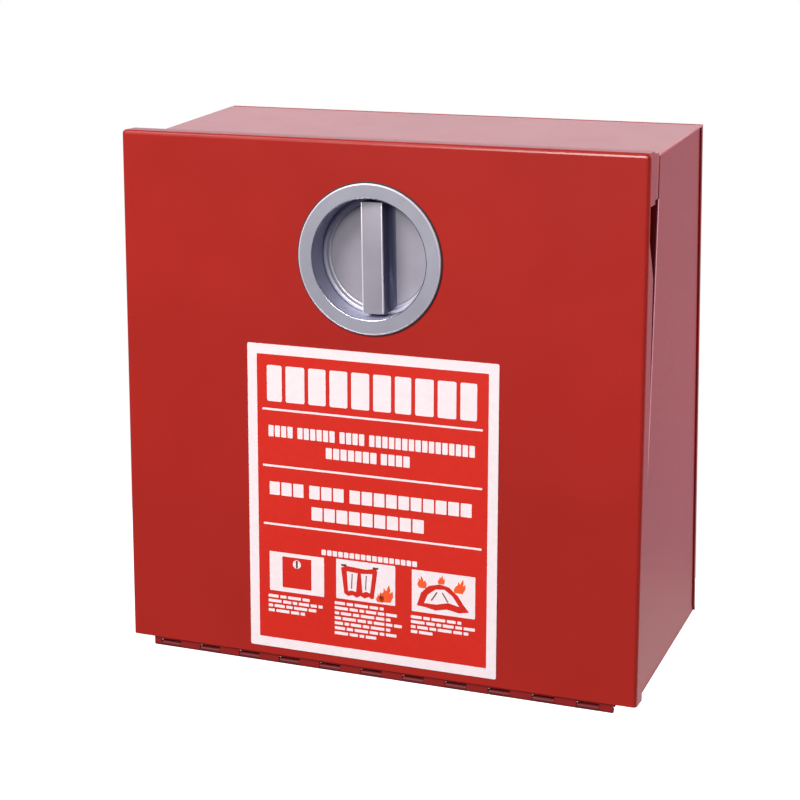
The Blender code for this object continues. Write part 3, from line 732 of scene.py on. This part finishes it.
def make_pictograms():
    """A cabinet being opened, a blanket held up before a fire, and one laid over it."""
    red = Print("label_picture_red", FILM_RED, 3)
    red.bar(20.5, 124.3, 38.6, 142.8, 0.3)
    red.shape([(57, 126.5), (60, 125), (72, 125.8), (78.5, 124.6), (79.2, 126.4), (77, 142.5),
               (75.4, 142.9), (74, 141.7), (71.6, 143.1), (69, 141.9), (66.6, 143.2),
               (64, 142), (61.4, 142.9), (59, 141.6)])
    red.shape([(103, 142.8), (105.5, 135), (110, 130.5), (116.5, 128.8), (122, 129.8),
               (127.5, 134.4), (131, 139.5), (134, 143), (128, 144.2), (121, 142.9),
               (114, 144.4), (108, 143.1)])
    red.finish_up()

    flames = Print("label_picture_flames", INK_FLAME, 4)
    flames.shape(flame(84.2, 143.6, 10.5, 0.1))
    flames.shape(flame(81.0, 144.0, 6.2, -0.1))
    flames.shape(flame(106.6, 132.2, 7.2, -0.25))
    flames.shape(flame(127.8, 132.6, 8.4, 0.2))
    flames.shape(flame(117.5, 128.6, 5.4, 0.0))
    flames.finish_up()

    pale = Print("label_picture_white", FILM_WHITE, 5)
    pale.shape(arc((29.6, 128.2), 2.5, 0, 345, 23))
    pale.shape([(60.6, 128.2), (67.2, 128.6), (66.2, 139.8), (63.6, 139.2), (61.4, 139.9)])
    pale.shape([(69.2, 128.6), (76.2, 128.0), (74.8, 139.6), (72.6, 138.8), (70.2, 139.8)])
    pale.shape([(107.4, 140.8), (109.6, 135.6), (114.2, 132.0), (119.6, 131.6), (124.2, 134.8),
                (128.2, 140.4), (121.8, 139.0), (114.6, 140.8)])
    pale.finish_up()

    lines = Print("label_picture_lines", INK_DARK, 6)
    lines.bar(29.0, 125.9, 30.2, 130.5, 0.2)
    lines.bar(57.2, 124.2, 60.4, 125.4, 0.4)
    lines.bar(76.4, 123.8, 79.8, 125.0, 0.4)
    lines.shape([(63.6, 129.4), (64.2, 129.4), (63.8, 138.2), (63.2, 138.2)])
    lines.shape([(72.2, 129.4), (72.8, 129.4), (72.4, 138.0), (71.8, 138.0)])
    lines.shape([(111.4, 138.6), (114.8, 133.4), (115.4, 133.8), (112.0, 139.0)])
    lines.shape([(118.4, 133.2), (121.8, 138.4), (121.2, 138.8), (117.8, 133.6)])
    lines.finish_up()


# ---------------------------------------------------------------- blanket and tapes

PLIES = 6
PANELS = 7
PLY_PITCH = 1.5 * MM
CLOTH_THICK = 0.8 * MM
FOLD_BAND = 4 * MM               # at each side, where the folded edges wander
TURN_STEPS = 8                   # samples round each fold


def folded_path(panels, height, pitch, samples):
    """The centre line of an accordion fold, as (along, up, tangent angle) samples.

    Panels run up and down in turn, a pitch apart, joined by half circles.
    """
    radius = pitch / 2
    straight = height - 2 * radius
    path = []
    for panel in range(panels):
        rising = panel % 2 == 0
        x = panel * pitch
        for step in range(samples + 1):
            share = step / samples
            up = radius + straight * (share if rising else 1 - share)
            path.append((x, up, 90 if rising else -90))
        if panel == panels - 1:
            break
        centre = (x + radius, height - radius if rising else radius)
        way = 1 if rising else -1
        for step in range(1, TURN_STEPS):
            turn = 180 * step / TURN_STEPS
            angle = math.radians(180 - way * turn)
            path.append((
                centre[0] + radius * math.cos(angle), centre[1] + radius * math.sin(angle),
                way * (90 - turn),
            ))
    return path


def make_blanket():
    """The blanket: one glass-cloth sheet folded into plies across and panels down."""
    low, high = (Vector(corner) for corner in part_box("blanket"))
    stack = (PLIES - 1) * PLY_PITCH
    depth = high.y - low.y - CLOTH_THICK - stack
    width = high.x - low.x - CLOTH_THICK
    height = high.z - low.z - CLOTH_THICK - stack
    start = low + Vector((CLOTH_THICK, CLOTH_THICK + stack, CLOTH_THICK + stack)) / 2
    across = folded_path(PLIES, width, PLY_PITCH, 6)
    along = folded_path(PANELS, height, depth / (PANELS - 1), 9)
    bm = bmesh.new()
    grid = []
    for offset, side, _ in across:
        lift = offset - stack / 2
        inward = 1 if side < width / 2 else -1
        column = []
        for depth_at, up, angle in along:
            normal = math.radians(angle + 90)
            point = start + Vector((
                side, depth_at + lift * math.cos(normal), up + lift * math.sin(normal),
            ))
            wander = noise.noise(Vector((offset * 900, depth_at * 60, up * 9)))
            if side < FOLD_BAND or side > width - FOLD_BAND:
                point.x += inward * (1.1 + 1.0 * wander) * MM
            point.y += 0.28 * MM * noise.noise(Vector((side * 14, depth_at * 40, up * 14)))
            column.append(bm.verts.new(point))
        grid.append(column)
    for first, second in zip(grid, grid[1:]):
        for i in range(len(along) - 1):
            bm.faces.new((first[i], first[i + 1], second[i + 1], second[i]))
    mesh = bpy.data.meshes.new("folded_blanket")
    bm.to_mesh(mesh)
    bm.free()
    mesh.shade_smooth()
    blanket = link("folded_blanket", mesh, CLOTH)
    thick = blanket.modifiers.new("Solidify", "SOLIDIFY")
    thick.thickness = CLOTH_THICK * 0.8
    thick.offset = 0
    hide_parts("blanket")
    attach(blanket, "cabinet")


TAPE_THICK = 1.3 * MM
TAPE_BEND = 8 * MM               # radius over the blanket's top edge
TAPE_START = 2 * MM              # in front of the blanket's back
HEM_LENGTH = 27 * MM
HEM_INSET = 0.3 * MM
STITCH_RADIUS = 0.32 * MM
STITCH_HALF = 1.12 * MM          # half a stitch's length
STITCHES = 8                     # in each row
SEAM_IN = 3 * MM                 # of the side seams from the tape's edges
SEAM_LOW = 4 * MM                # of the seams across, above the tape's end
SEAM_HIGH = 24 * MM


def ribbon(name, path, x0, x1):
    """A strip of tape along a path of (y, z) points, square across."""
    bm = bmesh.new()
    left, right = [], []
    for index, (y, z) in enumerate(path):
        sway = 0.5 * MM * noise.noise(Vector((x0 * 20, index * 0.23, 0.3)))
        left.append(bm.verts.new((x0 + sway, y, z)))
        right.append(bm.verts.new((x1 + sway, y, z)))
    for i in range(len(path) - 1):
        bm.faces.new((left[i], left[i + 1], right[i + 1], right[i]))
    bmesh.ops.subdivide_edges(
        bm, cuts=3, use_grid_fill=True,
        edges=[e for e in bm.edges if abs(e.verts[0].co.x - e.verts[1].co.x) > TAPE_THICK * 4],
    )
    mesh = bpy.data.meshes.new(name)
    bm.to_mesh(mesh)
    bm.free()
    mesh.shade_smooth()
    piece = link(name, mesh, TAPE)
    thick = piece.modifiers.new("Solidify", "SOLIDIFY")
    thick.thickness = TAPE_THICK
    thick.offset = 0
    soften = piece.modifiers.new("Bevel", "BEVEL")
    soften.width = TAPE_THICK * 0.3
    soften.segments = 2
    soften.limit_method = "ANGLE"
    soften.angle_limit = math.radians(50)
    return piece


def make_tape(node, name):
    """A pull tape over the blanket's top and down its front, its end sewn back on itself."""
    low, high = (Vector(corner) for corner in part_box(node))
    front, top, bottom = low.y + TAPE_THICK / 2, high.z - TAPE_THICK / 2, low.z
    back = high.y - TAPE_START
    bend_y, bend_z = front + TAPE_BEND, top - TAPE_BEND
    path = [(back + (bend_y - back) * step / 6, top) for step in range(6)]
    path += arc((bend_y, bend_z), TAPE_BEND, 90, 180, 8)
    for step in range(1, 15):
        share = step / 15
        bulge = 0.42 * MM * abs(math.sin(share * 9))
        path.append((front - bulge, bend_z + (bottom - bend_z) * share))
    path.append((front, bottom))
    tape = ribbon(name, path, low.x, high.x)
    hem_path = [
        (front - 1.45 * MM, bottom + 0.4 * MM + HEM_LENGTH * step / 6) for step in range(7)
    ]
    hem = ribbon(f"{name}_hem", hem_path, low.x + HEM_INSET, high.x - HEM_INSET)
    stitches = make_stitches(f"{name}_stitches", low.x, high.x, bottom, front - 2.15 * MM)
    for piece in (tape, hem, stitches):
        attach(piece, "cabinet")
    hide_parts(node)


def make_stitches(name, x0, x1, bottom, y):
    """Two rows of short stitches across the hem and one down each side of it."""
    bm = bmesh.new()

    def stitch(middle, along):
        """One stitch, in this direction."""
        turn = Vector(along).to_track_quat("Z", "Y").to_matrix().to_4x4()
        stretch = Matrix.Diagonal((1, 1, STITCH_HALF / STITCH_RADIUS, 1))
        bmesh.ops.create_icosphere(
            bm, subdivisions=2, radius=STITCH_RADIUS,
            matrix=Matrix.Translation(middle) @ turn @ stretch,
        )

    places = [(i + 0.5) / STITCHES for i in range(STITCHES)]
    left, right = x0 + SEAM_IN, x1 - SEAM_IN
    foot, head = bottom + SEAM_LOW, bottom + SEAM_HIGH
    for z in (foot, head):
        for share in places:
            stitch((left + (right - left) * share, y, z), (1, 0, 0))
    for x in (left, right):
        for share in places:
            stitch((x, y, foot + (head - foot) * share), (0, 0, 1))
    return link(name, finished(bm, name, 60), THREAD)


make_edges()
make_housing()
make_gasket()
make_rotor()
make_label()
make_blanket()
make_tape("pull_tape_left", "tape_left")
make_tape("pull_tape_right", "tape_right")


# ---------------------------------------------------------------- studio

CAMERA_AT = Vector((406.2, -1112.1, 340.1)) * MM
CAMERA_AZIMUTH = math.radians(21.89)
CAMERA_ELEVATION = math.radians(14.54)
CAMERA_ROLL = math.radians(-1.30)
CAMERA_LENS = 88.57
CAMERA_SHIFT_Y = -0.12
FLOOR_Z = -0.85
FLOOR_FRONT = -0.40
FLOOR_REACH = 1.7                # to each side and to the back
ROOM = (0.075, 0.08, 0.125)      # what surfaces that face forwards reflect
BACKDROP = (0.41, 0.385, 0.475)


def make_camera():
    """A long lens in front of the object, to its right and above it."""
    camera = bpy.data.objects.new("camera", bpy.data.cameras.new("camera"))
    bpy.context.scene.collection.objects.link(camera)
    back = Vector((
        math.sin(CAMERA_AZIMUTH) * math.cos(CAMERA_ELEVATION),
        -math.cos(CAMERA_AZIMUTH) * math.cos(CAMERA_ELEVATION),
        math.sin(CAMERA_ELEVATION),
    ))
    level = (-back).to_track_quat("-Z", "Y").to_matrix().to_4x4()
    camera.matrix_world = (
        Matrix.Translation(CAMERA_AT) @ level @ Matrix.Rotation(CAMERA_ROLL, 4, "Z")
    )
    camera.data.lens = CAMERA_LENS
    camera.data.sensor_width = 36
    camera.data.shift_y = CAMERA_SHIFT_Y
    camera.data.clip_end = 50
    bpy.context.scene.camera = camera


def softbox(name, location, target, size, power):
    """A white rectangular lamp, this size in metres and power in watts, aimed at the target."""
    data = bpy.data.lights.new(name, "AREA")
    data.shape = "RECTANGLE"
    data.size, data.size_y = size
    data.energy = power
    lamp = bpy.data.objects.new(name, data)
    bpy.context.scene.collection.objects.link(lamp)
    lamp.location = location
    aim = Vector(target) - Vector(location)
    lamp.rotation_euler = aim.to_track_quat("-Z", "Y").to_euler()


def make_world():
    """A studio with its white backdrop behind the object and a dim blue-grey room in front."""
    world = bpy.data.worlds.new("studio")
    world.use_nodes = True
    bpy.context.scene.world = world
    nodes, links = world.node_tree.nodes, world.node_tree.links
    surroundings = nodes["Background"]
    where = nodes.new("ShaderNodeTexCoord").outputs["Generated"]
    parts = nodes.new("ShaderNodeSeparateXYZ")
    links.new(where, parts.inputs["Vector"])
    behind = nodes.new("ShaderNodeMapRange")
    behind.interpolation_type = "SMOOTHSTEP"
    behind.inputs["From Min"].default_value = 0.40
    behind.inputs["From Max"].default_value = 0.85
    links.new(parts.outputs["Y"], behind.inputs["Value"])
    tone = ramp(nodes, links, behind.outputs["Result"], [(0.0, ROOM), (1.0, BACKDROP)])
    links.new(tone, surroundings.inputs["Color"])
    seen = nodes.new("ShaderNodeBackground")
    seen.inputs["Color"].default_value = (1, 1, 1, 1)
    choose = nodes.new("ShaderNodeMixShader")
    rays = nodes.new("ShaderNodeLightPath")
    links.new(rays.outputs["Is Camera Ray"], choose.inputs["Fac"])
    links.new(surroundings.outputs["Background"], choose.inputs[1])
    links.new(seen.outputs["Background"], choose.inputs[2])
    links.new(choose.outputs["Shader"], nodes["World Output"].inputs["Surface"])


def make_floor():
    """A pale floor far below the object and behind it."""
    bm = bmesh.new()
    corners = [
        (-FLOOR_REACH, FLOOR_FRONT), (FLOOR_REACH, FLOOR_FRONT), (FLOOR_REACH, FLOOR_REACH),
        (-FLOOR_REACH, FLOOR_REACH),
    ]
    bm.faces.new([bm.verts.new((x, y, FLOOR_Z)) for x, y in corners])
    mesh = bpy.data.meshes.new("floor")
    bm.to_mesh(mesh)
    bm.free()
    floor = link("floor", mesh, floor_paint("floor_paint"))


make_camera()
make_world()
make_floor()
softbox("key", (-1.1, -1.7, 1.7), (0, -0.1, 0), (0.9, 0.9), 62)
softbox("front", (-0.2, -2.7, 1.3), (0, -0.1, 0), (1.2, 0.8), 62)
softbox("side", (1.9, 1.1, 0.8), (0.1, 0, 0), (0.9, 0.9), 54)
softbox("rear", (-0.9, 1.9, 0.75), (0, -0.1, 0.15), (2.2, 0.7), 4)
bpy.context.scene.view_settings.view_transform = "Standard"
bpy.context.scene.view_settings.look = "None"
